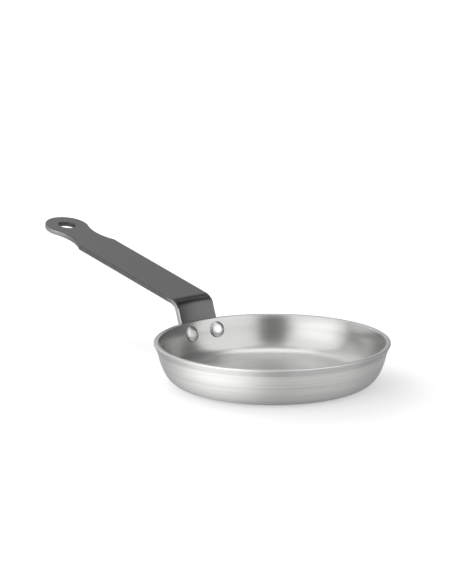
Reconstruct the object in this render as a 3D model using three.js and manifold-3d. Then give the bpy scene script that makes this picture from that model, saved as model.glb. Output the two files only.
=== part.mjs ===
// A small pancake pan: a bowl pressed from one steel sheet, a bent strip handle and the two rivets that join them.
// Millimetres, +Z up. The origin is the centre of the pan's flat underside, and the handle points along +X.

import * as THREE from 'three';
import { mergeVertices } from 'three/addons/utils/BufferGeometryUtils.js';
import Module from 'manifold-3d';

// Pan bowl. The radii are those of its outside, and each lean is in degrees from upright.
const RIM_DIAMETER = 120;
const PAN_HEIGHT = 21.4;
const SHEET_THICKNESS = 2.5;
const BASE_CORNER_RADIUS = 11.8;
const BELLY_RADIUS = 34;
const WAIST_LEAN = 13;
const FLARE_RADIUS = 22;
const LIP_LEAN = 29.5;
const RIM_EDGE_HEIGHT = 0.9;
const RIM_ROUND = 0.35;

// Strip handle: a plate riveted to the wall, a bend above the rim, a straight grip and an eye to hang it by.
const HANDLE_WIDTH = 23.4;
const HANDLE_THICKNESS = 2.7;
const PLATE_DROP = 13.5;
const PLATE_LEAN = 19.8;
const PLATE_CORNER_RADIUS = 6;
const BEND_HEIGHT = 10.7;
const BEND_RADIUS = 4;
const GRIP_RISE = 10.7;
const GRIP_REACH = 110.4;
const EYE_DIAMETER = 23.4;
const HANGING_HOLE_DIAMETER = 9;
const NECK_WIDTH = 17.2;
const NECK_RADIUS = 25;

// Rivets: a low crowned head with a small flat inside the pan, and a closed head outside on the plate.
const RIVET_SPACING = 16.4;
const RIVET_DEPTH = 5.4;
const RIVET_SHANK_DIAMETER = 4.8;
const RIVET_HEAD_DIAMETER = 8.2;
const RIVET_HEAD_HEIGHT = 1.3;
const RIVET_FLAT_DIAMETER = 3;
const CLOSED_HEAD_DIAMETER = 7.6;
const CLOSED_HEAD_HEIGHT = 1.4;
const HEAD_EDGE_HEIGHT = 0.3;

// Fits
const SEAT_GAP = 0.3;
const BORE_CLEARANCE = 0.3;
const BORE_OVERRUN = 10;

// Facets
const PAN_SEGMENTS = 96;
const EYE_SEGMENTS = 32;
const RIVET_SEGMENTS = 24;
const STRIP_DIVISIONS = 12;
const WALL_STEPS = { flare: 3, belly: 3, corner: 8 };
const STRIP_STEPS = { foot: 6, bend: 10, neck: 10 };
const RIM_ROUND_STEPS = 2;
const CROWN_STEPS = 6;

const { sin, cos, tan, asin, acos, sqrt, PI } = Math;
const radians = THREE.MathUtils.degToRad;

const wasm = await Module();
wasm.setup();

// Values from 0 to 1 in equal steps.
function steps(count) {
  return Array.from({ length: count + 1 }, (_, i) => i / count);
}

// A closed geometry as a solid that can be cut.
function solidOf(geometry) {
  const bare = geometry.clone();
  bare.deleteAttribute('normal');
  bare.deleteAttribute('uv');
  const merged = mergeVertices(bare, 1e-4);
  const index = merged.index.array;
  const corners = [];
  for (let i = 0; i < index.length; i += 3) {
    const [a, b, c] = [index[i], index[i + 1], index[i + 2]];
    if (a !== b && b !== c && c !== a) corners.push(a, b, c);
  }
  return new wasm.Manifold(new wasm.Mesh({
    numProp: 3,
    vertProperties: new Float32Array(merged.attributes.position.array),
    triVerts: new Uint32Array(corners),
  }));
}

function geometryOf(solid) {
  const mesh = solid.getMesh();
  const geometry = new THREE.BufferGeometry();
  geometry.setAttribute('position', new THREE.BufferAttribute(mesh.vertProperties, 3));
  geometry.setIndex(new THREE.BufferAttribute(mesh.triVerts, 1));
  return geometry;
}

// Stands a geometry made along +Y on an origin, along another direction.
function along(geometry, origin, direction) {
  const turn = new THREE.Quaternion().setFromUnitVectors(new THREE.Vector3(0, 1, 0), direction);
  return geometry.applyQuaternion(turn).translate(origin.x, origin.y, origin.z);
}

// The pan's section, as (radius, height) points

const rimRadius = RIM_DIAMETER / 2;
const waistLean = radians(WAIST_LEAN);
const lipLean = radians(LIP_LEAN);

// One arc of the wall. It starts where the wall leans by `from` and is walked until it leans by `to`.
// `bulge` is 1 where the wall curves out like a belly and -1 where it flares like a bell.
function wallArc(start, radius, bulge, from, to, count) {
  return steps(count).map((k) => {
    const lean = from + (to - from) * k;
    return new THREE.Vector2(
      start.x + bulge * radius * (cos(lean) - cos(from)),
      start.y + bulge * radius * (sin(from) - sin(lean)),
    );
  });
}

// The belly leans far enough where it meets the base corner for the wall to come down to the base.
const lipPoint = new THREE.Vector2(rimRadius, PAN_HEIGHT - RIM_EDGE_HEIGHT);
const waistHeight = lipPoint.y - FLARE_RADIUS * (sin(lipLean) - sin(waistLean));
const cornerLean = asin(
  (waistHeight + BELLY_RADIUS * sin(waistLean) - BASE_CORNER_RADIUS) / (BELLY_RADIUS - BASE_CORNER_RADIUS),
);

// The wall from the lip down to the base, `inward` of the pan's outside, with its top at the rim or at the lip.
function wallSection(inward) {
  const flareRadius = FLARE_RADIUS + inward;
  const lip = new THREE.Vector2(lipPoint.x - inward * cos(lipLean), lipPoint.y + inward * sin(lipLean));
  const overRim = Math.max(0, lip.y - PAN_HEIGHT);
  const topLean = asin(sin(lipLean) - overRim / flareRadius);
  const top = wallArc(lip, flareRadius, -1, lipLean, topLean, 1)[1];
  const flare = wallArc(top, flareRadius, -1, topLean, waistLean, WALL_STEPS.flare);
  const belly = wallArc(flare.at(-1), BELLY_RADIUS - inward, 1, waistLean, cornerLean, WALL_STEPS.belly);
  const corner = wallArc(belly.at(-1), BASE_CORNER_RADIUS - inward, 1, cornerLean, PI / 2, WALL_STEPS.corner);
  return [...flare, ...belly.slice(1), ...corner.slice(1)];
}

// A quarter round that breaks an edge of the rim, from one angle to the next about its centre.
function rimRound(x, from) {
  return steps(RIM_ROUND_STEPS).map((k) => {
    const angle = from + k * PI / 2;
    return new THREE.Vector2(x + RIM_ROUND * cos(angle), PAN_HEIGHT - RIM_ROUND + RIM_ROUND * sin(angle));
  });
}

const outerWall = wallSection(0);
const innerWall = wallSection(SHEET_THICKNESS);

// The whole section, closed on the axis: underside, outside, rim, inside and floor.
function panSection() {
  const innerRim = innerWall[0].x;
  return [
    new THREE.Vector2(0, 0),
    ...outerWall.toReversed(),
    ...rimRound(rimRadius - RIM_ROUND, 0),
    ...rimRound(innerRim + RIM_ROUND, PI / 2),
    ...innerWall.filter((p) => p.y < PAN_HEIGHT - RIM_ROUND),
    new THREE.Vector2(0, SHEET_THICKNESS),
  ];
}

// The space inside the wall that a rivet head must stay out of: the wall and floor, thicker by the seat gap.
function panKeepOut() {
  const inside = wallSection(SHEET_THICKNESS + SEAT_GAP);
  return [
    new THREE.Vector2(0, 0),
    ...outerWall.toReversed(),
    new THREE.Vector2(rimRadius, PAN_HEIGHT),
    ...inside,
    new THREE.Vector2(0, SHEET_THICKNESS + SEAT_GAP),
  ];
}

function revolve(section) {
  return solidOf(new THREE.LatheGeometry(section, PAN_SEGMENTS).rotateX(PI / 2));
}

function radiusAt(wall, height) {
  const above = wall.findLastIndex((p) => p.y >= height);
  const [upper, lower] = [wall[above], wall[above + 1]];
  return THREE.MathUtils.mapLinear(height, upper.y, lower.y, upper.x, lower.x);
}

// The handle's face that lies on the pan and turns into the top of the grip

const plateLean = radians(PLATE_LEAN);
const gripRise = radians(GRIP_RISE);
const bendTurn = PI / 2 - plateLean - gripRise;
const topBendRadius = BEND_RADIUS + HANDLE_THICKNESS;
const bendTangent = topBendRadius * tan(bendTurn / 2);

// At rim height, the plate's face clears everything of the wall that stands out behind it.
const plateRadius = SEAT_GAP / cos(plateLean) + Math.max(
  ...[...outerWall, new THREE.Vector2(rimRadius, PAN_HEIGHT)]
    .map((p) => p.x + (PAN_HEIGHT - p.y) * tan(plateLean)),
);
const plateUp = new THREE.Vector2(sin(plateLean), cos(plateLean));
const plateOut = new THREE.Vector2(cos(plateLean), -sin(plateLean));
const gripOut = new THREE.Vector2(cos(gripRise), sin(gripRise));
const gripDown = new THREE.Vector2(sin(gripRise), -cos(gripRise));
const bendCorner = new THREE.Vector2(
  plateRadius + BEND_HEIGHT * tan(plateLean),
  PAN_HEIGHT + BEND_HEIGHT,
);

// Lengths along that face, from the foot of the plate
const bendStart = (PLATE_DROP + BEND_HEIGHT) / cos(plateLean) - bendTangent;
const bendEnd = bendStart + topBendRadius * bendTurn;
const eyeCentre = bendEnd + GRIP_REACH - bendTangent;
const eyeRadius = EYE_DIAMETER / 2;
const neckHalf = NECK_WIDTH / 2;
const neckCentre = eyeCentre - sqrt((eyeRadius + NECK_RADIUS) ** 2 - (neckHalf + NECK_RADIUS) ** 2);
const neckEnd = eyeCentre - (eyeCentre - neckCentre) * eyeRadius / (eyeRadius + NECK_RADIUS);
const shoulder = neckCentre - sqrt(NECK_RADIUS ** 2 - (NECK_RADIUS + neckHalf - HANDLE_WIDTH / 2) ** 2);

// A place along the strip: its point in the XZ plane, the way through its thickness, and how far the strip is
// still curved round the pan there. The curve fades out over the bend, so that the grip is flat.
function stripPlace(length) {
  if (length <= bendStart) {
    const point = bendCorner.clone().addScaledVector(plateUp, length - bendStart - bendTangent);
    return { point, through: plateOut, hug: 1 };
  }
  if (length >= bendEnd) {
    const point = bendCorner.clone().addScaledVector(gripOut, length - bendEnd + bendTangent);
    return { point, through: gripDown, hug: 0 };
  }
  const part = (length - bendStart) / (bendEnd - bendStart);
  const angle = plateLean + bendTurn * part;
  const through = new THREE.Vector2(cos(angle), -sin(angle));
  const centre = bendCorner.clone()
    .addScaledVector(plateUp, -bendTangent)
    .addScaledVector(plateOut, topBendRadius);
  const point = centre.addScaledVector(through, -topBendRadius);
  return { point, through, hug: 1 - THREE.MathUtils.smoothstep(part, 0, 1) };
}

// Half of the strip's width: rounded foot, straight sides, concave neck, round eye.
function stripHalfWidth(length) {
  if (length < PLATE_CORNER_RADIUS) {
    const inset = PLATE_CORNER_RADIUS - length;
    return HANDLE_WIDTH / 2 - PLATE_CORNER_RADIUS + sqrt(PLATE_CORNER_RADIUS ** 2 - inset ** 2);
  }
  if (length <= shoulder) return HANDLE_WIDTH / 2;
  if (length <= neckEnd) return neckHalf + NECK_RADIUS - sqrt(NECK_RADIUS ** 2 - (length - neckCentre) ** 2);
  return sqrt(eyeRadius ** 2 - (length - eyeCentre) ** 2);
}

function stripLengths() {
  const eyeSteps = EYE_SEGMENTS / 2;
  const neckAngle = acos((eyeCentre - neckEnd) / eyeRadius);
  const tipAngle = PI - PI / EYE_SEGMENTS;
  return [
    ...steps(STRIP_STEPS.foot).map((k) => PLATE_CORNER_RADIUS * (1 - cos(k * PI / 2))),
    ...steps(STRIP_STEPS.bend).map((k) => THREE.MathUtils.lerp(bendStart, bendEnd, k)),
    ...steps(STRIP_STEPS.neck).map((k) => THREE.MathUtils.lerp(shoulder, neckEnd, k)),
    ...steps(eyeSteps).slice(1).map((k) => {
      return eyeCentre - eyeRadius * cos(THREE.MathUtils.lerp(neckAngle, tipAngle, k));
    }),
  ];
}

// The strip as a loft: at each length a row of points across its pan-side face and one across its far face.
function stripGeometry() {
  const lengths = stripLengths();
  const across = STRIP_DIVISIONS + 1;
  const positions = [];
  for (const length of lengths) {
    const { point, through, hug } = stripPlace(length);
    const half = stripHalfWidth(length);
    for (const depth of [0, HANDLE_THICKNESS]) {
      const place = point.clone().addScaledVector(through, depth);
      for (const k of steps(STRIP_DIVISIONS)) {
        const y = half * (2 * k - 1);
        const sag = place.x - sqrt(place.x ** 2 - y ** 2);
        positions.push(place.x - hug * sag, y, place.y);
      }
    }
  }
  const at = (row, face, k) => (row * 2 + face) * across + k;
  const index = [];
  const quad = (a, b, c, d) => index.push(a, b, c, a, c, d);
  const last = lengths.length - 1;
  for (let row = 0; row < last; row += 1) {
    for (let k = 0; k < STRIP_DIVISIONS; k += 1) {
      quad(at(row, 0, k), at(row + 1, 0, k), at(row + 1, 0, k + 1), at(row, 0, k + 1));
      quad(at(row, 1, k), at(row, 1, k + 1), at(row + 1, 1, k + 1), at(row + 1, 1, k));
    }
    const edge = STRIP_DIVISIONS;
    quad(at(row, 0, 0), at(row, 1, 0), at(row + 1, 1, 0), at(row + 1, 0, 0));
    quad(at(row, 0, edge), at(row + 1, 0, edge), at(row + 1, 1, edge), at(row, 1, edge));
  }
  for (let k = 0; k < STRIP_DIVISIONS; k += 1) {
    quad(at(0, 0, k), at(0, 0, k + 1), at(0, 1, k + 1), at(0, 1, k));
    quad(at(last, 0, k), at(last, 1, k), at(last, 1, k + 1), at(last, 0, k + 1));
  }
  const geometry = new THREE.BufferGeometry();
  geometry.setAttribute('position', new THREE.Float32BufferAttribute(positions, 3));
  geometry.setIndex(index);
  return geometry;
}

// Rivets. Each stands square to the plate, on the pan's inner wall, and +Y of its own frame points outwards.

const rivetHeight = PAN_HEIGHT - RIVET_DEPTH;
const rivetRadius = radiusAt(innerWall, rivetHeight);
const rivetAzimuth = asin(RIVET_SPACING / 2 / rivetRadius);
const plateFarRadius = plateRadius + HANDLE_THICKNESS / cos(plateLean) - RIVET_DEPTH * tan(plateLean);
const rivetGrip = (plateFarRadius - rivetRadius) * cos(plateLean) + SEAT_GAP;

function rivetFrame(side) {
  const azimuth = side * rivetAzimuth;
  const outwards = new THREE.Vector3(cos(azimuth), sin(azimuth), 0);
  const origin = outwards.clone().multiplyScalar(rivetRadius).setZ(rivetHeight);
  const axis = outwards.clone().multiplyScalar(plateOut.x).setZ(plateOut.y);
  return { origin, axis };
}

// A crown from its flat centre out to its edge, as (radius, height) points above the face that it stands on.
function crown(headRadius, flatRadius, height) {
  return steps(CROWN_STEPS).map((k) => new THREE.Vector2(
    flatRadius + (headRadius - flatRadius) * sin(k * PI / 2),
    HEAD_EDGE_HEIGHT + (height - HEAD_EDGE_HEIGHT) * cos(k * PI / 2),
  ));
}

function rivetBlank() {
  const shankRadius = RIVET_SHANK_DIAMETER / 2;
  const headRadius = RIVET_HEAD_DIAMETER / 2;
  const closedRadius = CLOSED_HEAD_DIAMETER / 2;
  const headCrown = crown(headRadius, RIVET_FLAT_DIAMETER / 2, RIVET_HEAD_HEIGHT);
  const closedCrown = crown(closedRadius, 0, CLOSED_HEAD_HEIGHT);
  return new THREE.LatheGeometry([
    new THREE.Vector2(0, -RIVET_HEAD_HEIGHT),
    ...headCrown.map((p) => new THREE.Vector2(p.x, -p.y)),
    new THREE.Vector2(headRadius, SHEET_THICKNESS / 2),
    new THREE.Vector2(shankRadius, SHEET_THICKNESS / 2),
    new THREE.Vector2(shankRadius, rivetGrip),
    new THREE.Vector2(closedRadius, rivetGrip),
    ...closedCrown.toReversed().map((p) => new THREE.Vector2(p.x, rivetGrip + p.y)),
  ], RIVET_SEGMENTS);
}

function rivetCore({ origin, axis }, radius) {
  const length = 2 * (rivetGrip + BORE_OVERRUN);
  return solidOf(along(new THREE.CylinderGeometry(radius, radius, length, RIVET_SEGMENTS), origin, axis));
}

function rivetSolid(frame) {
  const blank = solidOf(along(rivetBlank(), frame.origin, frame.axis));
  const wall = revolve(panKeepOut()).subtract(rivetCore(frame, RIVET_SHANK_DIAMETER / 2));
  return blank.subtract(wall);
}

// Cuts

const rivetFrames = { rivet_left: rivetFrame(1), rivet_right: rivetFrame(-1) };
const rivetBores = Object.values(rivetFrames)
  .map((frame) => rivetCore(frame, RIVET_SHANK_DIAMETER / 2 + BORE_CLEARANCE));

function hangingHole() {
  const { point, through } = stripPlace(eyeCentre);
  const radius = HANGING_HOLE_DIAMETER / 2;
  const length = 2 * (HANDLE_THICKNESS + BORE_OVERRUN);
  const origin = new THREE.Vector3(point.x, 0, point.y);
  const axis = new THREE.Vector3(through.x, 0, through.y);
  return solidOf(along(new THREE.CylinderGeometry(radius, radius, length, EYE_SEGMENTS), origin, axis));
}

function panSolid() {
  return rivetBores.reduce((solid, bore) => solid.subtract(bore), revolve(panSection()));
}

function handleSolid() {
  return [...rivetBores, hangingHole()].reduce((solid, bore) => solid.subtract(bore), solidOf(stripGeometry()));
}

// Finishes: satin steel bowl, dark coated handle, bright rivets
const satinSteel = new THREE.MeshStandardMaterial({ color: '#c4c5c6', metalness: 1, roughness: 0.34 });
const coatedSteel = new THREE.MeshStandardMaterial({ color: '#66676a', metalness: 0.3, roughness: 0.45 });
const brightSteel = new THREE.MeshStandardMaterial({ color: '#d6d6d4', metalness: 1, roughness: 0.2 });

function piece(name, solid, material) {
  const mesh = new THREE.Mesh(geometryOf(solid), material);
  mesh.name = name;
  return mesh;
}

const pancakePan = new THREE.Group();
pancakePan.add(piece('pan_body', panSolid(), satinSteel));
pancakePan.add(piece('handle', handleSolid(), coatedSteel));
for (const [name, frame] of Object.entries(rivetFrames)) {
  pancakePan.add(piece(name, rivetSolid(frame), brightSteel));
}

export default pancakePan;
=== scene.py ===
import math

import bmesh
import bpy
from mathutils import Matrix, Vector


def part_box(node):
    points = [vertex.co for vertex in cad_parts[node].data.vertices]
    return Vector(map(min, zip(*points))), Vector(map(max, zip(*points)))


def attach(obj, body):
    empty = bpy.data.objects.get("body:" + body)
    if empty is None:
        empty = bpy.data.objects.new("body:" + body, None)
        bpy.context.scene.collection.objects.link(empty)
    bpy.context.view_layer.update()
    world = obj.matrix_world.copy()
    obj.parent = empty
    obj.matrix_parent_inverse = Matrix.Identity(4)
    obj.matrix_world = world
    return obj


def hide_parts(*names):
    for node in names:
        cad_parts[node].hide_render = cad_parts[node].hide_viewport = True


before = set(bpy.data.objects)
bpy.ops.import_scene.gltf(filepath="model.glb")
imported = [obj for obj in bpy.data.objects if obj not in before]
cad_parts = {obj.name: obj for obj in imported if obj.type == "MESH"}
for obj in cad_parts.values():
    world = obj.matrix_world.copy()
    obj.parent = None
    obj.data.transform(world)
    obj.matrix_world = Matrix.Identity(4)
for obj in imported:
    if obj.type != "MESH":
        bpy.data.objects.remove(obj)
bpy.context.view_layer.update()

# A small pancake pan: a spun steel bowl, a bent strip handle with a dark finish, and the two rivets that
# hold them together. Metres, +Z up, in the frame of the solids.

MM = 0.001

# Pan bowl. The rim and the height are the solid's own, the radii those of its outside.
PAN_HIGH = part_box("pan_body")[1]
RIM_RADIUS = PAN_HIGH[0]
PAN_HEIGHT = PAN_HIGH[2]
SHEET_THICKNESS = 2.5 * MM
BASE_CORNER_RADIUS = 11.8 * MM
BELLY_RADIUS = 34 * MM
WAIST_LEAN = math.radians(13)
FLARE_RADIUS = 22 * MM
LIP_LEAN = math.radians(29.5)
RIM_EDGE_HEIGHT = 0.9 * MM
RIM_ROUND = 0.45 * MM
RIM_INNER_ROUND = 0.2 * MM
TURNED_BAND = 3.0 * MM

# Strip handle
HANDLE_WIDTH = 23.4 * MM
HANDLE_THICKNESS = 2.7 * MM
PLATE_DROP = 13.5 * MM
PLATE_LEAN = math.radians(19.8)
PLATE_CORNER_RADIUS = 6 * MM
BEND_HEIGHT = 10.7 * MM
BEND_RADIUS = 4 * MM
GRIP_RISE = math.radians(10.7)
GRIP_REACH = 110.4 * MM
EYE_RADIUS = 11.7 * MM
HANGING_HOLE_RADIUS = 4.5 * MM
NECK_HALF = 8.6 * MM
NECK_RADIUS = 25 * MM
EDGE_ROUND = 0.45 * MM

# Rivets
RIVET_SPACING = 16.4 * MM
RIVET_DEPTH = 5.4 * MM
RIVET_SHANK_RADIUS = 2.4 * MM
RIVET_HEAD_RADIUS = 4.1 * MM
RIVET_HEAD_HEIGHT = 1.3 * MM
RIVET_FLAT_RADIUS = 1.5 * MM
CLOSED_HEAD_RADIUS = 3.8 * MM
CLOSED_HEAD_HEIGHT = 1.4 * MM
HEAD_EDGE_HEIGHT = 0.3 * MM
HEAD_BEDDING = 0.1 * MM
SEAT_GAP = 0.3 * MM

# Patterns in the finishes
ABRASIVE_RING = 0.4 * MM
TOOL_RING = 1.4 * MM
STREAK_LENGTH, STREAK_WIDTH = 6 * MM, 0.5 * MM
OXIDE_SPECKLE = 0.8 * MM
OXIDE_CRUST = 0.9 * MM
SHEAR_MARK_SPACING, SHEAR_MARK_LENGTH = 1.4 * MM, 5 * MM
RIVET_TOOL_MARK = 1.1 * MM
RELIEF_DEPTH = 0.2 * MM

# Tones painted for light and shade, and the tone of real shear marks. A share is what is left of the tone
# there.
# Painted shade: a faint dark ring round the outside wall.
SHADE_RING_HEIGHT = 11.6 * MM
SHADE_RING_REACH = 0.8 * MM
SHADE_RING_SHARE = 0.93
# Painted highlight over the fillet before the pan's floor, which is also rougher there.
FILLET_RUN = 9 * MM
FILLET_HIGHLIGHT_SHARE = 1.55
FILLET_ROUGHNESS = 0.10
# Painted shade on the pan's floor, darker towards the middle.
PAINTED_SHADE_FROM, PAINTED_SHADE_FULL = 8 * MM, 32 * MM
PAINTED_SHADE_SHARE = 0.6
# Painted highlight on the strip's cut edges at the plate, the bend and the eye.
PAINTED_GLINT_PAST_BEND = 4 * MM
PAINTED_GLINT_AT_EYE = 0.6
PAINTED_GLINT_TONE = 0.75
SHEAR_MARK_TONE = 0.3

# Painted shade: two dark lines across the bend. Each has its place past the bend's start, reach and share.
BEND_SHADE_LINES = ((2.5 * MM, 1.7 * MM, 0.42), (4.9 * MM, 1.1 * MM, 0.76))

# Facets
PAN_STEPS = 288
RIVET_STEPS = 64
ARC_STEPS = 24
FLAT_STEPS = 12
RIM_STEPS = 8
CROWN_STEPS = 16
EDGE_STEPS = 3
PLATE_CUTS = 12
BEND_CUTS = 32
ACROSS_CUTS = 16
OUTLINE_STEP = 0.6 * MM
SHARP_ANGLE = math.radians(50)
MERGE_DISTANCE = 0.001 * MM
CUT_DISTANCE = 0.0001 * MM


def node(tree, kind, inputs=None, **settings):
    """Adds one node with its settings. Its inputs, by name or number, are set or linked."""
    made = tree.nodes.new(kind)
    for name, value in settings.items():
        setattr(made, name, value)
    for key, value in (inputs or {}).items():
        if isinstance(value, bpy.types.NodeSocket):
            tree.links.new(value, made.inputs[key])
        else:
            made.inputs[key].default_value = value
    return made


def linear(hex_code):
    """An sRGB hex colour as linear RGBA."""
    channels = [int(hex_code[i:i + 2], 16) / 255 for i in (1, 3, 5)]
    return (*[c / 12.92 if c <= 0.04045 else ((c + 0.055) / 1.055) ** 2.4 for c in channels], 1.0)


def new_material(name):
    """An empty material and its node tree."""
    material = bpy.data.materials.new(name)
    material.use_nodes = True
    material.node_tree.nodes.clear()
    return material, material.node_tree


# Finishes

def dark_line(tree, tone, length, mark, reach, share):
    """Darkens a tone on a line across a length: to a share at a mark, and less over a reach beside it."""
    off = node(tree, "ShaderNodeMath", {0: length, 1: mark}, operation="SUBTRACT")
    off = node(tree, "ShaderNodeMath", {0: off.outputs[0]}, operation="ABSOLUTE")
    left = node(tree, "ShaderNodeMapRange",
                {"Value": off.outputs[0], 2: reach, 3: share, 4: 1.0}, interpolation_type="SMOOTHSTEP")
    return node(tree, "ShaderNodeVectorMath",
                {0: tone.outputs[0], "Scale": left.outputs[0]}, operation="SCALE")


def spun_steel(name, pale, dull, roughness, anisotropy, relief, floor_start=None, shade_ring=None):
    """Steel sheet, spun against an abrasive: fine rings round the bowl, and lights drawn out across them.
    Before a floor starts: rougher, and a painted highlight. On the floor: painted shade towards the middle.
    A shade ring is a faint dark ring of painted shade. Both places are lengths along the section."""
    material, tree = new_material(name)
    place = node(tree, "ShaderNodeTexCoord")
    way = node(tree, "ShaderNodeAttribute", attribute_name="along")
    axes = node(tree, "ShaderNodeSeparateXYZ", {0: place.outputs["Object"]})
    level = node(tree, "ShaderNodeCombineXYZ", {"X": axes.outputs["X"], "Y": axes.outputs["Y"]})
    around = node(tree, "ShaderNodeVectorMath", {0: level.outputs[0]}, operation="NORMALIZE")
    turn = node(tree, "ShaderNodeSeparateXYZ", {0: around.outputs["Vector"]})
    ring = node(tree, "ShaderNodeMath", {0: way.outputs["Fac"], 1: 1 / MM}, operation="MULTIPLY")
    where = node(tree, "ShaderNodeCombineXYZ",
                 {"X": turn.outputs["X"], "Y": turn.outputs["Y"], "Z": ring.outputs[0]})
    # Abrasive rings and tool rings, both drawn coarser than real ones so that they show.
    lines = node(tree, "ShaderNodeTexNoise",
                 {"Vector": where.outputs[0], "Scale": MM / ABRASIVE_RING, "Detail": 5.0, "Roughness": 0.7})
    bands = node(tree, "ShaderNodeTexNoise",
                 {"Vector": where.outputs[0], "Scale": MM / TOOL_RING, "Detail": 3.0, "Roughness": 0.6})
    relief_height = node(tree, "ShaderNodeMix", {
        "Factor": 0.5, "A": lines.outputs["Fac"], "B": bands.outputs["Fac"]})
    tone = node(tree, "ShaderNodeValToRGB", {"Fac": relief_height.outputs["Result"]})
    tone.color_ramp.elements[0].position = 0.38
    tone.color_ramp.elements[0].color = linear(dull)
    tone.color_ramp.elements[1].position = 0.62
    tone.color_ramp.elements[1].color = linear(pale)
    gloss = node(tree, "ShaderNodeMapRange", {
        "Value": bands.outputs["Fac"], 1: 0.3, 2: 0.7, 3: roughness - 0.02, 4: roughness + 0.02})
    if floor_start:
        # Painted highlight over the fillet, and painted shade towards the floor's middle.
        fillet_highlight = node(tree, "ShaderNodeMapRange", {
            "Value": way.outputs["Fac"], 1: floor_start - FILLET_RUN, 2: floor_start,
            3: 1.0, 4: FILLET_HIGHLIGHT_SHARE})
        painted_shade = node(tree, "ShaderNodeMapRange", {
            "Value": way.outputs["Fac"], 1: floor_start + PAINTED_SHADE_FROM, 2: floor_start + PAINTED_SHADE_FULL,
            3: 1.0, 4: PAINTED_SHADE_SHARE})
        left = node(tree, "ShaderNodeMath",
                    {0: fillet_highlight.outputs[0], 1: painted_shade.outputs[0]}, operation="MULTIPLY")
        tone = node(tree, "ShaderNodeVectorMath",
                    {0: tone.outputs[0], "Scale": left.outputs[0]}, operation="SCALE")
        rougher = node(tree, "ShaderNodeMapRange", {
            "Value": way.outputs["Fac"], 1: floor_start - FILLET_RUN, 2: floor_start,
            3: 0.0, 4: FILLET_ROUGHNESS})
        gloss = node(tree, "ShaderNodeMath", {0: gloss.outputs[0], 1: rougher.outputs[0]}, operation="ADD")
    if shade_ring:
        # Painted shade: a faint dark ring round the outside wall.
        tone = dark_line(tree, tone, way.outputs["Fac"], shade_ring, SHADE_RING_REACH, SHADE_RING_SHARE)
    bump = node(tree, "ShaderNodeBump", {
        "Strength": relief, "Distance": RELIEF_DEPTH, "Height": relief_height.outputs["Result"]})
    tangent = node(tree, "ShaderNodeTangent", direction_type="RADIAL", axis="Z")
    shader = node(tree, "ShaderNodeBsdfPrincipled", {
        "Base Color": tone.outputs[0], "Metallic": 1.0, "Roughness": gloss.outputs[0],
        "Anisotropic": anisotropy, "Anisotropic Rotation": 0.25,
        "Tangent": tangent.outputs[0], "Normal": bump.outputs[0]})
    node(tree, "ShaderNodeOutputMaterial", {"Surface": shader.outputs[0]})
    return material


def dark_oxide_steel():
    """The strip's faces: rolled steel under a dark satin oxide. It has a dull sheen, a grain along the
    strip and two dark lines of painted shade across the bend."""
    material, tree = new_material("dark_oxide_steel")
    place = node(tree, "ShaderNodeTexCoord")
    # Rolling streaks, drawn wider than real ones so that they show, and a speckle.
    strip = node(tree, "ShaderNodeMapping",
                 {"Vector": place.outputs["UV"], "Scale": (1 / STREAK_LENGTH, 1 / STREAK_WIDTH, 1)})
    streaks = node(tree, "ShaderNodeTexNoise",
                   {"Vector": strip.outputs[0], "Scale": 1.0, "Detail": 3.0, "Roughness": 0.6})
    speckle = node(tree, "ShaderNodeTexNoise", {
        "Vector": place.outputs["Object"], "Scale": 1 / OXIDE_SPECKLE, "Detail": 3.0, "Roughness": 0.6})
    grain = node(tree, "ShaderNodeMix", {
        "Factor": 0.5, "A": streaks.outputs["Fac"], "B": speckle.outputs["Fac"]})
    tone = node(tree, "ShaderNodeValToRGB", {"Fac": grain.outputs["Result"]})
    tone.color_ramp.elements[0].position = 0.35
    tone.color_ramp.elements[0].color = linear("#5d5d5d")
    tone.color_ramp.elements[1].position = 0.65
    tone.color_ramp.elements[1].color = linear("#6b6b6b")
    length = node(tree, "ShaderNodeSeparateXYZ", {0: place.outputs["UV"]})
    # Painted shade: two dark lines across the bend.
    for mark, reach, share in BEND_SHADE_LINES:
        tone = dark_line(tree, tone, length.outputs["X"], BEND_START + mark, reach, share)
    gloss = node(tree, "ShaderNodeMapRange",
                 {"Value": grain.outputs["Result"], 1: 0.35, 2: 0.65, 3: 0.30, 4: 0.40})
    bump = node(tree, "ShaderNodeBump",
                {"Strength": 0.10, "Distance": RELIEF_DEPTH, "Height": grain.outputs["Result"]})
    shader = node(tree, "ShaderNodeBsdfPrincipled", {
        "Base Color": tone.outputs[0], "Metallic": 1.0, "Roughness": gloss.outputs["Result"],
        "Normal": bump.outputs[0]})
    node(tree, "ShaderNodeOutputMaterial", {"Surface": shader.outputs[0]})
    return material


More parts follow.
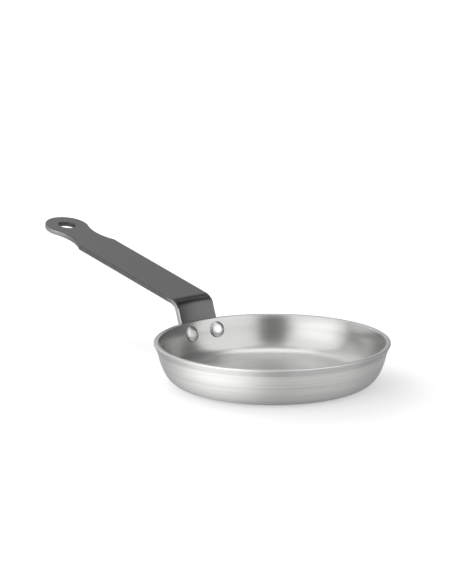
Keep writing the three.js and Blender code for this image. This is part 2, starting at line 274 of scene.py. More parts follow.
def sheared_steel():
    """The strip's cut edges: torn grey steel, with a painted highlight at the plate, the bend and the eye.
    """
    material, tree = new_material("sheared_steel_edge")
    place = node(tree, "ShaderNodeTexCoord")
    # Shear marks across the edge, drawn coarser than real ones so that they show.
    strip = node(tree, "ShaderNodeMapping", {
        "Vector": place.outputs["UV"], "Scale": (1 / SHEAR_MARK_SPACING, 1 / SHEAR_MARK_LENGTH, 1)})
    marks = node(tree, "ShaderNodeTexNoise",
                 {"Vector": strip.outputs[0], "Scale": 1.0, "Detail": 3.0, "Roughness": 0.6})
    length = node(tree, "ShaderNodeSeparateXYZ", {0: place.outputs["UV"]})
    # Painted highlight: paler at the plate, the bend and the eye.
    at_bend = node(tree, "ShaderNodeMapRange", {
        "Value": length.outputs["X"], 1: BEND_START, 2: BEND_END + PAINTED_GLINT_PAST_BEND, 3: 1.0, 4: 0.0})
    at_eye = node(tree, "ShaderNodeMapRange",
                  {"Value": length.outputs["X"], 1: SHOULDER, 2: NECK_END, 3: 0.0, 4: PAINTED_GLINT_AT_EYE})
    glint_and_marks = node(tree, "ShaderNodeMath",
                  {0: at_bend.outputs["Result"], 1: at_eye.outputs["Result"]}, operation="MAXIMUM")
    torn = node(tree, "ShaderNodeMath", {0: marks.outputs["Fac"], 1: SHEAR_MARK_TONE}, operation="MULTIPLY")
    glint_and_marks = node(tree, "ShaderNodeMath",
                  {0: glint_and_marks.outputs[0], 1: PAINTED_GLINT_TONE, 2: torn.outputs[0]}, operation="MULTIPLY_ADD")
    tone = node(tree, "ShaderNodeValToRGB", {"Fac": glint_and_marks.outputs[0]})
    tone.color_ramp.elements[0].position = 0.05
    tone.color_ramp.elements[0].color = linear("#676767")
    tone.color_ramp.elements[1].position = 0.95
    tone.color_ramp.elements[1].color = linear("#cacac9")
    bump = node(tree, "ShaderNodeBump",
                {"Strength": 0.25, "Distance": RELIEF_DEPTH, "Height": marks.outputs["Fac"]})
    shader = node(tree, "ShaderNodeBsdfPrincipled", {
        "Base Color": tone.outputs["Color"], "Metallic": 1.0, "Roughness": 0.42, "Normal": bump.outputs[0]})
    node(tree, "ShaderNodeOutputMaterial", {"Surface": shader.outputs[0]})
    return material


def burnt_oxide():
    """The strip's rounded corners and its hole: thick dark oxide, dull and slightly rough."""
    material, tree = new_material("burnt_oxide_corner")
    place = node(tree, "ShaderNodeTexCoord")
    crust = node(tree, "ShaderNodeTexNoise",
                 {"Vector": place.outputs["Object"], "Scale": 1 / OXIDE_CRUST, "Detail": 3.0})
    tone = node(tree, "ShaderNodeValToRGB", {"Fac": crust.outputs["Fac"]})
    tone.color_ramp.elements[0].position = 0.35
    tone.color_ramp.elements[0].color = linear("#565656")
    tone.color_ramp.elements[1].position = 0.65
    tone.color_ramp.elements[1].color = linear("#6c6c6c")
    bump = node(tree, "ShaderNodeBump",
                {"Strength": 0.15, "Distance": RELIEF_DEPTH, "Height": crust.outputs["Fac"]})
    shader = node(tree, "ShaderNodeBsdfPrincipled", {
        "Base Color": tone.outputs["Color"], "Metallic": 1.0, "Roughness": 0.5, "Normal": bump.outputs[0]})
    node(tree, "ShaderNodeOutputMaterial", {"Surface": shader.outputs[0]})
    return material


def bright_rivet_steel():
    """Headed rivets of bright steel: a flat painted paler, a painted highlight; a satin dome with faint
    tool marks; and painted shade round the head's edge. The length along the section is counted from the
    nearer end of the rivet."""
    material, tree = new_material("bright_rivet_steel")
    place = node(tree, "ShaderNodeTexCoord")
    way = node(tree, "ShaderNodeAttribute", attribute_name="along")
    marks = node(tree, "ShaderNodeTexNoise", {
        "Vector": place.outputs["Object"], "Scale": 1 / RIVET_TOOL_MARK, "Detail": 3.0})
    back = node(tree, "ShaderNodeMath", {0: RIVET_LENGTH, 1: way.outputs["Fac"]}, operation="SUBTRACT")
    nearest = node(tree, "ShaderNodeMath", {0: way.outputs["Fac"], 1: back.outputs[0]}, operation="MINIMUM")
    out = node(tree, "ShaderNodeMapRange", {"Value": nearest.outputs[0], 2: HEAD_LENGTH})
    # Painted highlight on the flat, and painted shade round the head's edge.
    painted_glint_and_shade = node(tree, "ShaderNodeValToRGB", {"Fac": out.outputs["Result"]})
    flat_end = RIVET_FLAT_RADIUS / HEAD_LENGTH
    dome_start, dome_end = flat_end + 0.06, 0.86
    painted_glint_and_shade.color_ramp.elements[0].position = flat_end
    painted_glint_and_shade.color_ramp.elements[0].color = linear("#f0f0ef")
    painted_glint_and_shade.color_ramp.elements[1].position = 1.0
    painted_glint_and_shade.color_ramp.elements[1].color = linear("#3a3a3a")
    for position, hex_code in ((dome_start, "#c6c6c6"), (dome_end, "#bababa")):
        painted_glint_and_shade.color_ramp.elements.new(position).color = linear(hex_code)
    gloss = node(tree, "ShaderNodeMapRange",
                 {"Value": marks.outputs["Fac"], 1: 0.3, 2: 0.7, 3: 0.28, 4: 0.36})
    bump = node(tree, "ShaderNodeBump",
                {"Strength": 0.08, "Distance": RELIEF_DEPTH, "Height": marks.outputs["Fac"]})
    shader = node(tree, "ShaderNodeBsdfPrincipled", {
        "Base Color": painted_glint_and_shade.outputs["Color"], "Metallic": 1.0, "Roughness": gloss.outputs["Result"],
        "Normal": bump.outputs[0]})
    node(tree, "ShaderNodeOutputMaterial", {"Surface": shader.outputs[0]})
    return material


# Geometry Nodes trees

def new_tree(name, inputs):
    """A modifier tree with these named inputs after its geometry, and its input node."""
    tree = bpy.data.node_groups.new(name, "GeometryNodeTree")
    tree.interface.new_socket("Geometry", in_out="INPUT", socket_type="NodeSocketGeometry")
    for label, kind in inputs:
        tree.interface.new_socket(label, in_out="INPUT", socket_type=kind)
    tree.interface.new_socket("Geometry", in_out="OUTPUT", socket_type="NodeSocketGeometry")
    return tree, node(tree, "NodeGroupInput")


def spin_tree():
    """Sweeps a section's points, which lie in the XZ plane, once round the Z axis."""
    tree, given = new_tree("spin_section", [("Steps", "NodeSocketInt"), ("Finish", "NodeSocketMaterial")])
    section = given.outputs["Geometry"]
    count = node(tree, "GeometryNodeAttributeDomainSize", {0: section}, component="MESH")
    columns = node(tree, "ShaderNodeMath", {0: given.outputs["Steps"], 1: 1.0}, operation="ADD")
    grid = node(tree, "GeometryNodeMeshGrid", {
        "Size X": 1.0, "Size Y": 1.0,
        "Vertices X": columns.outputs[0], "Vertices Y": count.outputs["Point Count"]})
    spot = node(tree, "ShaderNodeSeparateXYZ", {0: grid.outputs["UV Map"]})
    last = node(tree, "ShaderNodeMath", {0: count.outputs["Point Count"], 1: 1.0}, operation="SUBTRACT")
    row = node(tree, "ShaderNodeMath", {0: spot.outputs["Y"], 1: last.outputs[0]}, operation="MULTIPLY")
    row = node(tree, "ShaderNodeMath", {0: row.outputs[0]}, operation="ROUND")
    point = node(tree, "GeometryNodeSampleIndex", {
        "Geometry": section, "Value": node(tree, "GeometryNodeInputPosition").outputs[0],
        "Index": row.outputs[0]}, data_type="FLOAT_VECTOR")
    along = node(tree, "GeometryNodeInputNamedAttribute", {"Name": "along"}, data_type="FLOAT")
    length = node(tree, "GeometryNodeSampleIndex", {
        "Geometry": section, "Value": along.outputs[0], "Index": row.outputs[0]}, data_type="FLOAT")
    angle = node(tree, "ShaderNodeMath", {0: spot.outputs["X"], 1: 2 * math.pi}, operation="MULTIPLY")
    swung = node(tree, "ShaderNodeVectorRotate",
                 {"Vector": point.outputs[0], "Axis": (0, 0, 1), "Angle": angle.outputs[0]})
    paths = node(tree, "ShaderNodeCombineXYZ", {"X": spot.outputs["X"], "Y": length.outputs[0]})
    marked = node(tree, "GeometryNodeStoreNamedAttribute", {
        "Geometry": grid.outputs["Mesh"], "Name": "UVMap", "Value": paths.outputs[0]},
        data_type="FLOAT2", domain="CORNER")
    marked = node(tree, "GeometryNodeStoreNamedAttribute", {
        "Geometry": marked.outputs[0], "Name": "along", "Value": length.outputs[0]},
        data_type="FLOAT", domain="POINT")
    spun = node(tree, "GeometryNodeSetPosition",
                {"Geometry": marked.outputs[0], "Position": swung.outputs[0]})
    closed = node(tree, "GeometryNodeMergeByDistance",
                  {"Geometry": spun.outputs[0], "Distance": MERGE_DISTANCE})
    real = node(tree, "GeometryNodeRealizeInstances", {0: closed.outputs[0]})
    done = node(tree, "GeometryNodeSetMaterial",
                {"Geometry": real.outputs[0], "Material": given.outputs["Finish"]})
    node(tree, "NodeGroupOutput", {0: done.outputs[0]})
    return tree


def rivet_tree():
    """Sets a rivet on each point, its own Z along the point's axis."""
    tree, given = new_tree("set_rivets", [("Rivet", "NodeSocketObject"), ("Finish", "NodeSocketMaterial")])
    rivet = node(tree, "GeometryNodeObjectInfo", {"Object": given.outputs["Rivet"], "As Instance": True})
    axis = node(tree, "GeometryNodeInputNamedAttribute", {"Name": "axis"}, data_type="FLOAT_VECTOR")
    stand = node(tree, "FunctionNodeAlignRotationToVector", {"Vector": axis.outputs[0]}, axis="Z")
    set_out = node(tree, "GeometryNodeInstanceOnPoints", {
        "Points": given.outputs["Geometry"], "Instance": rivet.outputs["Geometry"],
        "Rotation": stand.outputs[0]})
    real = node(tree, "GeometryNodeRealizeInstances", {0: set_out.outputs[0]})
    done = node(tree, "GeometryNodeSetMaterial",
                {"Geometry": real.outputs[0], "Material": given.outputs["Finish"]})
    node(tree, "NodeGroupOutput", {0: done.outputs[0]})
    return tree


def new_object(name, mesh):
    piece = bpy.data.objects.new(name, mesh)
    bpy.context.scene.collection.objects.link(piece)
    return piece


def make_plain(piece):
    """Makes what a piece's modifiers give its own plain mesh, and drops the modifiers."""
    view = bpy.context.evaluated_depsgraph_get()
    mesh = bpy.data.meshes.new_from_object(
        piece.evaluated_get(view), preserve_all_data_layers=True, depsgraph=view)
    mesh.name = piece.name
    while mesh.materials and mesh.materials[0] is None:
        mesh.materials.pop(index=0)
    piece.modifiers.clear()
    piece.data = mesh


def grow(piece, tree, **inputs):
    """Runs a tree on a piece, with these inputs by their names."""
    modifier = piece.modifiers.new(tree.name, "NODES")
    modifier.node_group = tree
    for item in tree.interface.items_tree:
        if item.in_out == "INPUT" and item.name in inputs:
            modifier[item.identifier] = inputs[item.name]
    make_plain(piece)


def section_object(name, section):
    """A section of (radius, height) points as a line of vertices in the XZ plane, with lengths along it."""
    mesh = bpy.data.meshes.new(name)
    count = len(section)
    mesh.from_pydata([(r, 0, z) for r, z in section], [(i, i + 1) for i in range(count - 1)], [])
    along = mesh.attributes.new("along", "FLOAT", "POINT")
    length = 0
    for i in range(count):
        if i:
            length += math.dist(section[i - 1], section[i])
        along.data[i].value = length
    return new_object(name, mesh)


def mend(piece, sharp_angle):
    """Turns the faces outwards and shades them smooth, apart from edges sharper than an angle."""
    shape = bmesh.new()
    shape.from_mesh(piece.data)
    bmesh.ops.recalc_face_normals(shape, faces=shape.faces)
    for face in shape.faces:
        face.smooth = True
    for edge in shape.edges:
        edge.smooth = len(edge.link_faces) != 2 or edge.calc_face_angle() < sharp_angle
    shape.to_mesh(piece.data)
    shape.free()


# Pan bowl

def wall_arc(start, radius, bulge, lean_from, lean_to, count):
    """One arc of the wall, walked down from where it leans by one angle to where it leans by another."""
    points = []
    for i in range(count + 1):
        lean = lean_from + (lean_to - lean_from) * i / count
        points.append((start[0] + bulge * radius * (math.cos(lean) - math.cos(lean_from)),
                       start[1] + bulge * radius * (math.sin(lean_from) - math.sin(lean))))
    return points


LIP_HEIGHT = PAN_HEIGHT - RIM_EDGE_HEIGHT
WAIST_HEIGHT = LIP_HEIGHT - FLARE_RADIUS * (math.sin(LIP_LEAN) - math.sin(WAIST_LEAN))
CORNER_LEAN = math.asin((WAIST_HEIGHT + BELLY_RADIUS * math.sin(WAIST_LEAN) - BASE_CORNER_RADIUS)
                        / (BELLY_RADIUS - BASE_CORNER_RADIUS))


def wall_section(inward):
    """The wall from its lip, or from the rim, down to the base, a distance inside the pan's outside."""
    flare_radius = FLARE_RADIUS + inward
    lip = (RIM_RADIUS - inward * math.cos(LIP_LEAN), LIP_HEIGHT + inward * math.sin(LIP_LEAN))
    over_rim = max(0, lip[1] - PAN_HEIGHT)
    top_lean = math.asin(math.sin(LIP_LEAN) - over_rim / flare_radius)
    top = wall_arc(lip, flare_radius, -1, LIP_LEAN, top_lean, 1)[1]
    flare = wall_arc(top, flare_radius, -1, top_lean, WAIST_LEAN, ARC_STEPS // 2)
    belly = wall_arc(flare[-1], BELLY_RADIUS - inward, 1, WAIST_LEAN, CORNER_LEAN, ARC_STEPS // 2)
    corner = wall_arc(belly[-1], BASE_CORNER_RADIUS - inward, 1, CORNER_LEAN, math.pi / 2, ARC_STEPS)
    return flare + belly[1:] + corner[1:]


def rim_round(x, radius, angle_from, angle_to):
    """The round on an edge of the rim, about a centre at x."""
    angles = [angle_from + (angle_to - angle_from) * i / RIM_STEPS for i in range(RIM_STEPS + 1)]
    return [(x + radius * math.cos(a), PAN_HEIGHT - radius + radius * math.sin(a)) for a in angles]


def stretch(start, end, count):
    """Points of a straight stretch of the section, its end left off."""
    return [(start[0] + (end[0] - start[0]) * i / count, start[1] + (end[1] - start[1]) * i / count)
            for i in range(count)]


OUTER_WALL = wall_section(0)
INNER_WALL = wall_section(SHEET_THICKNESS)


def pan_section():
    """The section from axis to axis, in three parts: underside and outside, rim, inside and floor."""
    outside = stretch((0, 0), OUTER_WALL[-1], FLAT_STEPS) + OUTER_WALL[::-1]
    lean = math.atan2(INNER_WALL[0][0] - INNER_WALL[1][0], INNER_WALL[0][1] - INNER_WALL[1][1])
    round_x = INNER_WALL[0][0] + RIM_INNER_ROUND * (1 / math.cos(lean) - math.tan(lean))
    rim = (rim_round(RIM_RADIUS - RIM_ROUND, RIM_ROUND, 0, math.pi / 2)
           + rim_round(round_x, RIM_INNER_ROUND, math.pi / 2, math.pi - lean))
    inside = [p for p in INNER_WALL if p[1] < rim[-1][1]]
    middle = (0, SHEET_THICKNESS)
    inside = inside[:-1] + stretch(INNER_WALL[-1], middle, FLAT_STEPS) + [middle]
    return outside, rim, inside


def line_length(points):
    return sum(math.dist(*pair) for pair in zip(points, points[1:]))


def radius_at(wall, height):
    """A wall's radius at a height."""
    for upper, lower in zip(wall, wall[1:]):
        if upper[1] >= height >= lower[1]:
            part = (upper[1] - height) / (upper[1] - lower[1])
            return upper[0] + (lower[0] - upper[0]) * part
    return wall[0][0]


# Strip handle. Lengths run along the face on the pan, from the plate's foot over the bend to the eye.

BEND_TURN = math.pi / 2 - PLATE_LEAN - GRIP_RISE
TOP_BEND_RADIUS = BEND_RADIUS + HANDLE_THICKNESS
BEND_TANGENT = TOP_BEND_RADIUS * math.tan(BEND_TURN / 2)
PLATE_RADIUS = SEAT_GAP / math.cos(PLATE_LEAN) + max(
    x + (PAN_HEIGHT - z) * math.tan(PLATE_LEAN) for x, z in OUTER_WALL + [(RIM_RADIUS, PAN_HEIGHT)])
BEND_CORNER = Vector((PLATE_RADIUS + BEND_HEIGHT * math.tan(PLATE_LEAN), PAN_HEIGHT + BEND_HEIGHT))
PLATE_UP = Vector((math.sin(PLATE_LEAN), math.cos(PLATE_LEAN)))
PLATE_OUT = Vector((math.cos(PLATE_LEAN), -math.sin(PLATE_LEAN)))
GRIP_OUT = Vector((math.cos(GRIP_RISE), math.sin(GRIP_RISE)))
GRIP_DOWN = Vector((math.sin(GRIP_RISE), -math.cos(GRIP_RISE)))
BEND_START = (PLATE_DROP + BEND_HEIGHT) / math.cos(PLATE_LEAN) - BEND_TANGENT
BEND_END = BEND_START + TOP_BEND_RADIUS * BEND_TURN
EYE_CENTRE = BEND_END + GRIP_REACH - BEND_TANGENT
NECK_CENTRE = EYE_CENTRE - math.sqrt((EYE_RADIUS + NECK_RADIUS) ** 2 - (NECK_HALF + NECK_RADIUS) ** 2)
NECK_END = EYE_CENTRE - (EYE_CENTRE - NECK_CENTRE) * EYE_RADIUS / (EYE_RADIUS + NECK_RADIUS)
SHOULDER = NECK_CENTRE - math.sqrt(NECK_RADIUS ** 2 - (NECK_RADIUS + NECK_HALF - HANDLE_WIDTH / 2) ** 2)


def strip_place(length):
    """A place along the strip: its point in the XZ plane, the way through the strip, and how far the strip
    curves round the pan there, from 1 on the plate to 0 on the grip."""
    if length <= BEND_START:
        return BEND_CORNER + PLATE_UP * (length - BEND_START - BEND_TANGENT), PLATE_OUT, 1.0
    if length >= BEND_END:
        return BEND_CORNER + GRIP_OUT * (length - BEND_END + BEND_TANGENT), GRIP_DOWN, 0.0
    part = (length - BEND_START) / (BEND_END - BEND_START)
    angle = PLATE_LEAN + BEND_TURN * part
    through = Vector((math.cos(angle), -math.sin(angle)))
    centre = BEND_CORNER - PLATE_UP * BEND_TANGENT + PLATE_OUT * TOP_BEND_RADIUS
    return centre - through * TOP_BEND_RADIUS, through, 1 - part * part * (3 - 2 * part)


def bent(length, across, depth):
    """Where a point of the flat blank lies on the bent strip; its depth is below the pan-side face."""
    point, through, hug = strip_place(length)
    place = point + through * depth
    sag = place.x - math.sqrt(place.x ** 2 - across ** 2)
    return Vector((place.x - hug * sag, across, place.y))


def arc_points(x, y, radius, angle_from, angle_to):
    """Points of a flat arc, about one outline step apart."""
    count = max(4, round(abs(angle_to - angle_from) * radius / OUTLINE_STEP))
    angles = [angle_from + (angle_to - angle_from) * i / count for i in range(count + 1)]
    return [(x + radius * math.cos(a), y + radius * math.sin(a)) for a in angles]


def strip_outline():
    """The blank's outline, once round: foot, one side, neck, eye, and back along the other side."""
    half = HANDLE_WIDTH / 2
    neck_y = NECK_HALF + NECK_RADIUS
    eye_from = math.atan2(neck_y, NECK_CENTRE - EYE_CENTRE)
    side = arc_points(PLATE_CORNER_RADIUS, half - PLATE_CORNER_RADIUS, PLATE_CORNER_RADIUS,
                      math.pi, math.pi / 2)
    side += arc_points(NECK_CENTRE, neck_y, NECK_RADIUS,
                       math.atan2(half - neck_y, SHOULDER - NECK_CENTRE), eye_from - math.pi)
    side += arc_points(EYE_CENTRE, 0, EYE_RADIUS, eye_from, 0)[1:]
    return side + [(x, -y) for x, y in side[-2::-1]]


def strip_blank():
    """The flat blank: its outline and hanging hole, filled, with rounded edges."""
    flat = bpy.data.curves.new("handle_blank", "CURVE")
    flat.dimensions = "2D"
    flat.fill_mode = "BOTH"
    flat.extrude = HANDLE_THICKNESS / 2 - EDGE_ROUND
    flat.bevel_depth = EDGE_ROUND
    flat.bevel_resolution = EDGE_STEPS
    flat.offset = -EDGE_ROUND
    hole = arc_points(EYE_CENTRE, 0, HANGING_HOLE_RADIUS, 0, 2 * math.pi)[:-1]
    for outline in (strip_outline(), hole):
        line = flat.splines.new("POLY")
        line.points.add(len(outline) - 1)
        for spot, (x, y) in zip(line.points, outline):
            spot.co = (x, y, 0, 1)
        line.use_cyclic_u = True
    drawn = new_object("handle_blank", flat)
    view = bpy.context.evaluated_depsgraph_get()
    mesh = bpy.data.meshes.new_from_object(drawn.evaluated_get(view), depsgraph=view)
    bpy.data.objects.remove(drawn)
    return mesh


def slice_blank(shape, faces, place, across):
    """Cuts the blank's faces along a line, so that they can follow the bend."""
    edges = {edge for face in faces for edge in face.edges}
    corners = {corner for face in faces for corner in face.verts}
    bmesh.ops.bisect_plane(shape, geom=[*corners, *edges, *faces], dist=CUT_DISTANCE,
                           plane_co=place, plane_no=across)


# The height of a normal of the flat blank: more than the first on its faces, less than the second on its
# cut edges, and in between on its rounded corners.
FACE_NORMAL = 0.9999
EDGE_NORMAL = 0.3


def make_handle(finishes):
    """The blank, cut across its plate and its bend, then bent.
    Its finishes are those of its faces, of its cut edges, and of its rounded corners and its hole."""
    mesh = strip_blank()
    shape = bmesh.new()
    shape.from_mesh(mesh)
    bmesh.ops.remove_doubles(shape, verts=shape.verts, dist=CUT_DISTANCE)
    plate_cuts = [BEND_START * (i + 1) / PLATE_CUTS for i in range(PLATE_CUTS)]
    bend_cuts = [BEND_START + (BEND_END - BEND_START) * (i + 1) / BEND_CUTS for i in range(BEND_CUTS)]
    for length in plate_cuts + bend_cuts:
        slice_blank(shape, shape.faces[:], (length, 0, 0), (1, 0, 0))
    for i in range(1, ACROSS_CUTS):
        curved = [f for f in shape.faces if max(v.co.x for v in f.verts) < BEND_END + MERGE_DISTANCE]
        slice_blank(shape, curved, (0, HANDLE_WIDTH * (i / ACROSS_CUTS - 0.5), 0), (0, 1, 0))
    paths = shape.loops.layers.uv.verify()
    for face in shape.faces:
        face.smooth = True
        for loop in face.loops:
            loop[paths].uv = (loop.vert.co.x, loop.vert.co.y + loop.vert.co.z)
    shape.normal_update()
    for face in shape.faces:
        rise = abs(face.normal.z)
        middle = face.calc_center_median()
        in_hole = math.hypot(middle.x - EYE_CENTRE, middle.y) < (HANGING_HOLE_RADIUS + EYE_RADIUS) / 2
        # The plate's rounded corners take the cut edges' finish too, with its painted highlight.
        bare = (rise < EDGE_NORMAL or middle.x < BEND_START) and not in_hole
        face.material_index = 0 if rise > FACE_NORMAL else 1 if bare else 2
    for edge in shape.edges:
        edge.smooth = len({face.material_index == 0 for face in edge.link_faces}) == 1
    for spot in shape.verts:
        spot.co = bent(spot.co.x, spot.co.y, HANDLE_THICKNESS / 2 - spot.co.z)
    bmesh.ops.recalc_face_normals(shape, faces=shape.faces)
    shape.to_mesh(mesh)
    shape.free()
    for finish in finishes:
        mesh.materials.append(finish)
    return new_object("strip_handle", mesh)


# Rivets. Each stands square to the plate, on the pan's inner wall, with its own Z outwards.

RIVET_HEIGHT = PAN_HEIGHT - RIVET_DEPTH
RIVET_RADIUS = radius_at(INNER_WALL, RIVET_HEIGHT)
RIVET_AZIMUTH = math.asin(RIVET_SPACING / 2 / RIVET_RADIUS)
PLATE_FAR_RADIUS = (PLATE_RADIUS + HANDLE_THICKNESS / math.cos(PLATE_LEAN)
                    - RIVET_DEPTH * math.tan(PLATE_LEAN))
RIVET_GRIP = (PLATE_FAR_RADIUS - RIVET_RADIUS) * math.cos(PLATE_LEAN)


def crown(head_radius, flat_radius, height):
    """A head's crown, from its flat centre out to its edge along a round, as (radius, height) points."""
    run, rise = head_radius - flat_radius, height - HEAD_EDGE_HEIGHT
    radius = (run ** 2 + rise ** 2) / (2 * rise)
    turns = [2 * math.atan(rise / run) * i / CROWN_STEPS for i in range(CROWN_STEPS + 1)]
    return [(flat_radius + radius * math.sin(t), height - radius * (1 - math.cos(t))) for t in turns]


def rivet_section():
    """Head, shank and closed head, from end to end of the axis."""
    head = crown(RIVET_HEAD_RADIUS, RIVET_FLAT_RADIUS, RIVET_HEAD_HEIGHT)
    closed = crown(CLOSED_HEAD_RADIUS, 0, CLOSED_HEAD_HEIGHT)
    far_seat = RIVET_GRIP - HEAD_BEDDING
    return ([(0, -RIVET_HEAD_HEIGHT)] + [(r, -z) for r, z in head]
            + [(RIVET_HEAD_RADIUS, HEAD_BEDDING), (RIVET_SHANK_RADIUS, HEAD_BEDDING),
               (RIVET_SHANK_RADIUS, far_seat), (CLOSED_HEAD_RADIUS, far_seat)]
            + [(r, RIVET_GRIP + z) for r, z in closed[::-1]])


# Along the section: from the head's middle to the end of its crown and its edge, and from end to end.
HEAD_LENGTH = line_length(rivet_section()[:CROWN_STEPS + 2]) + HEAD_EDGE_HEIGHT
RIVET_LENGTH = line_length(rivet_section())


def rivet_points():
    """A point on the inner wall for each rivet, with its axis."""
    mesh = bpy.data.meshes.new("rivet_points")
    directions = [Vector((math.cos(a), math.sin(a), 0)) for a in (RIVET_AZIMUTH, -RIVET_AZIMUTH)]
    mesh.from_pydata([d * RIVET_RADIUS + Vector((0, 0, RIVET_HEIGHT)) for d in directions], [], [])
    axis = mesh.attributes.new("axis", "FLOAT_VECTOR", "POINT")
    for i, d in enumerate(directions):
        axis.data[i].vector = (d.x * PLATE_OUT.x, d.y * PLATE_OUT.x, PLATE_OUT.y)
    return mesh


# The pieces. Lengths along the pan's section tell its finishes apart.
outside, rim, inside = pan_section()
rim_start = line_length(outside)
rim_end = line_length(outside + rim)
band_start = rim_start - TURNED_BAND
floor_start = rim_end + line_length(INNER_WALL)
shade_ring = line_length([p for p in outside if p[1] <= SHADE_RING_HEIGHT])
# One steel in four finishes. Their tones differ as painted light: the outside is painted paler as a painted
# highlight, the inside darker as painted shade, and the turned band under the rim darker than the outside.
outside_finish = spun_steel("coarse_spun_steel", pale="#ececeb", dull="#dededd", roughness=0.47,
                            anisotropy=0.75, relief=0.05, shade_ring=shade_ring)
band_finish = spun_steel("turned_steel_band", pale="#dcdcdb", dull="#d2d2d1", roughness=0.45,
                         anisotropy=0.95, relief=0.02)
rim_finish = spun_steel("rubbed_steel_rim", pale="#d4d4d3", dull="#cacac9", roughness=0.36,
                        anisotropy=0.3, relief=0.015)
inside_finish = spun_steel("fine_spun_steel", pale="#bbbbba", dull="#b4b4b3", roughness=0.29,
                           anisotropy=0.25, relief=0.015, floor_start=floor_start)
handle_finishes = [dark_oxide_steel(), sheared_steel(), burnt_oxide()]
rivet_finish = bright_rivet_steel()
spin = spin_tree()

pan = section_object("spun_bowl", outside + rim + inside)
grow(pan, spin, Steps=PAN_STEPS, Finish=outside_finish)
mend(pan, SHARP_ANGLE)
for finish in (band_finish, rim_finish, inside_finish):
    pan.data.materials.append(finish)
along = pan.data.attributes["along"].data
for face in pan.data.polygons:
    middle = sum(along[v].value for v in face.vertices) / len(face.vertices)
    face.material_index = (middle > band_start) + (middle > rim_start) + (middle > rim_end)

handle = make_handle(handle_finishes)

rivet = section_object("rivet_blank", rivet_section())
grow(rivet, spin, Steps=RIVET_STEPS, Finish=rivet_finish)
mend(rivet, SHARP_ANGLE)
rivets = new_object("rivet_pair", rivet_points())
grow(rivets, rivet_tree(), Rivet=rivet, Finish=rivet_finish)
bpy.data.objects.remove(rivet)

for piece, slot, nodes in ((pan, "pan_steel", ["pan_body"]),
                           (handle, "handle_coated_steel", ["handle"]),
                           (rivets, "rivet_steel", ["rivet_left", "rivet_right"])):
    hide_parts(*nodes)
    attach(piece, "root")

# Camera, at the photograph's angle. The sensor spans the image's longer side, which is its height.
IMAGE_HEIGHT = 584
FOCAL_PIXELS = 4000
SENSOR = 36
CAMERA_PLACE = Vector((-1.51442, 1.25295, 0.50628))
CAMERA_PITCH = math.radians(13.1546)
CAMERA_HEADING = math.radians(231.08)

lens = bpy.data.cameras.new("camera")
lens.sensor_width = SENSOR
lens.lens = FOCAL_PIXELS * SENSOR / IMAGE_HEIGHT
lens.clip_start = 0.05
camera = bpy.data.objects.new("camera", lens)
camera.location = CAMERA_PLACE
camera.rotation_euler = (math.pi / 2 - CAMERA_PITCH, 0, CAMERA_HEADING)
bpy.context.scene.collection.objects.link(camera)
bpy.context.scene.camera = camera

# Studio. Bearings are round the pan from the camera's side, towards the left of the image.
FRONT = Vector((CAMERA_PLACE.x, CAMERA_PLACE.y, 0)).normalized()
LEFT = Vector((FRONT.y, -FRONT.x, 0))
UP = Vector((0, 0, 1))


def bearing(azimuth, elevation):
    """A direction from the pan, in degrees."""
    a, e = math.radians(azimuth), math.radians(elevation)
    level = FRONT * math.cos(a) + LEFT * math.sin(a)
    return level * math.cos(e) + UP * math.sin(e)


def softbox(name, place, facing, width, height, radiance):
    """A rectangular lamp that faces a direction, hidden from the camera."""
    lamp = bpy.data.lights.new(name, "AREA")
    lamp.shape = "RECTANGLE"
    lamp.size = width
    lamp.size_y = height
    lamp.energy = radiance * math.pi * width * height
    box = bpy.data.objects.new(name, lamp)
    box.location = place
    box.rotation_euler = (-facing).to_track_quat("Z", "Y").to_euler()
    box.visible_camera = False
    bpy.context.scene.collection.objects.link(box)


def standing_panel(name, azimuth, half_width, low, high, radiance):
    """An upright softbox a metre away that spans these bearings, in degrees, as seen from the pan."""
    bottom, top = math.tan(math.radians(low)), math.tan(math.radians(high))
    width = 2 * math.tan(math.radians(half_width))
    away = bearing(azimuth, 0)
    softbox(name, away + UP * (bottom + top) / 2, -away, width, top - bottom, radiance)


standing_panel("key_panel", azimuth=53, half_width=35, low=0, high=64, radiance=1.35)
standing_panel("key_strip", azimuth=50, half_width=24, low=0, high=28, radiance=0.75)
standing_panel("fill_panel", azimuth=-54, half_width=38, low=0, high=62, radiance=1.35)
standing_panel("side_panel", azimuth=132, half_width=38, low=12, high=60, radiance=0.9)
standing_panel("back_panel", azimuth=178, half_width=22, low=17, high=42, radiance=0.66)
softbox("overhead", place=UP - FRONT * 0.12, facing=FRONT * 0.05 - UP,
        width=1.0, height=0.56, radiance=1.6)
softbox("overhead_front", place=UP + FRONT * 0.65, facing=-FRONT * 0.05 - UP,
        width=0.6, height=1.0, radiance=0.34)

# Surroundings: white to the camera, an even grey studio to everything else.
ROOM_LIGHT = 0.19
world = bpy.data.worlds.new("studio")
bpy.context.scene.world = world
world.use_nodes = True
world.node_tree.nodes.clear()
ray = node(world.node_tree, "ShaderNodeLightPath")
room = node(world.node_tree, "ShaderNodeMapRange",
            {"Value": ray.outputs["Is Camera Ray"], 3: ROOM_LIGHT, 4: 1.0})
sky = node(world.node_tree, "ShaderNodeBackground",
           {"Color": linear("#ffffff"), "Strength": room.outputs[0]})
node(world.node_tree, "ShaderNodeOutputWorld", {"Surface": sky.outputs[0]})

# Floor: a pale sheet that glows a little, so that it looks white. The camera sees it glow less in a
# painted shadow over the real one, to the front and the right, and more far away.
FLOOR_REACH = 6
FLOOR_DROP = 0.02 * MM
SHADE_LIFT, CLEAR_LIFT, FAR_LIFT = 0.46, 0.68, 1.0
SHADE_FRONT, SHADE_RIGHT = 0.025, 0.02
CLEAR_FROM, CLEAR_FULL = 0.035, 0.095
FAR_FROM, FAR_FULL = 0.3, 1.2

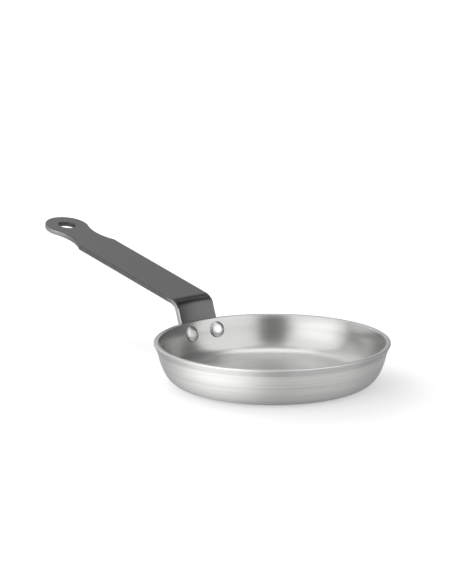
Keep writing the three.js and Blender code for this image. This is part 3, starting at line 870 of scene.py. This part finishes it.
# The metal sees the floor glow less near the pan than away from it, a painted shadow,
# and a painted pool of light at the front left.
LIFT_NEAR, LIFT_AWAY = 0.06, 0.28
LIFT_FROM, LIFT_FULL = 0.08, 0.16
PAINTED_POOL_LIFT = 1.6
PAINTED_POOL_BEARING = 40
PAINTED_POOL_AWAY = 0.20
PAINTED_POOL_FULL, PAINTED_POOL_END = 0.06, 0.17

floor_mesh = bpy.data.meshes.new("studio_floor")
floor_mesh.from_pydata([(x * FLOOR_REACH, y * FLOOR_REACH, -FLOOR_DROP) for x, y in
                        ((-1, -1), (1, -1), (1, 1), (-1, 1))], [], [(0, 1, 2, 3)])
floor = new_object("studio_floor", floor_mesh)
paper, tree = new_material("pale_paper")
ray = node(tree, "ShaderNodeLightPath")
place = node(tree, "ShaderNodeTexCoord")
# A painted pool of light and a painted shadow, seen only in the metal.
from_painted_pool = node(tree, "ShaderNodeVectorMath", {
    0: place.outputs["Object"], 1: bearing(PAINTED_POOL_BEARING, 0) * PAINTED_POOL_AWAY}, operation="DISTANCE")
painted_pool = node(tree, "ShaderNodeMapRange", {
    "Value": from_painted_pool.outputs["Value"], 1: PAINTED_POOL_FULL, 2: PAINTED_POOL_END,
    3: PAINTED_POOL_LIFT, 4: 0.0}, interpolation_type="SMOOTHSTEP")
from_pan = node(tree, "ShaderNodeVectorMath", {0: place.outputs["Object"]}, operation="LENGTH")
away = node(tree, "ShaderNodeMapRange", {
    "Value": from_pan.outputs["Value"], 1: LIFT_FROM, 2: LIFT_FULL,
    3: LIFT_NEAR, 4: LIFT_AWAY}, interpolation_type="SMOOTHSTEP")
lit = node(tree, "ShaderNodeMath",
           {0: away.outputs["Result"], 1: painted_pool.outputs["Result"]}, operation="ADD")
bounced = node(tree, "ShaderNodeMath", {
    0: ray.outputs["Is Glossy Ray"], 1: ray.outputs["Is Transmission Ray"]}, operation="MAXIMUM")
mirrored = node(tree, "ShaderNodeMath", {0: bounced.outputs[0], 1: lit.outputs[0]}, operation="MULTIPLY")
# Painted shadow: less glow round a point to the front right of the pan.
from_shade = node(tree, "ShaderNodeVectorMath", {
    0: place.outputs["Object"], 1: FRONT * SHADE_FRONT - LEFT * SHADE_RIGHT}, operation="DISTANCE")
clear = node(tree, "ShaderNodeMapRange", {
    "Value": from_shade.outputs["Value"], 1: CLEAR_FROM, 2: CLEAR_FULL,
    3: SHADE_LIFT, 4: CLEAR_LIFT}, interpolation_type="SMOOTHSTEP")
far = node(tree, "ShaderNodeMapRange", {
    "Value": from_pan.outputs["Value"], 1: FAR_FROM, 2: FAR_FULL, 3: 0.0, 4: FAR_LIFT - CLEAR_LIFT})
bare = node(tree, "ShaderNodeMath",
            {0: clear.outputs["Result"], 1: far.outputs["Result"]}, operation="ADD")
seen = node(tree, "ShaderNodeMath",
            {0: ray.outputs["Is Camera Ray"], 1: bare.outputs[0]}, operation="MULTIPLY")
lift = node(tree, "ShaderNodeMath", {0: seen.outputs[0], 1: mirrored.outputs[0]}, operation="ADD")
shader = node(tree, "ShaderNodeBsdfPrincipled", {
    "Base Color": linear("#b3b3b3"), "Roughness": 0.9, "Specular IOR Level": 0.0,
    "Emission Color": linear("#ffffff"), "Emission Strength": lift.outputs[0]})
node(tree, "ShaderNodeOutputMaterial", {"Surface": shader.outputs[0]})
floor_mesh.materials.append(paper)

bpy.context.scene.view_settings.view_transform = "Standard"
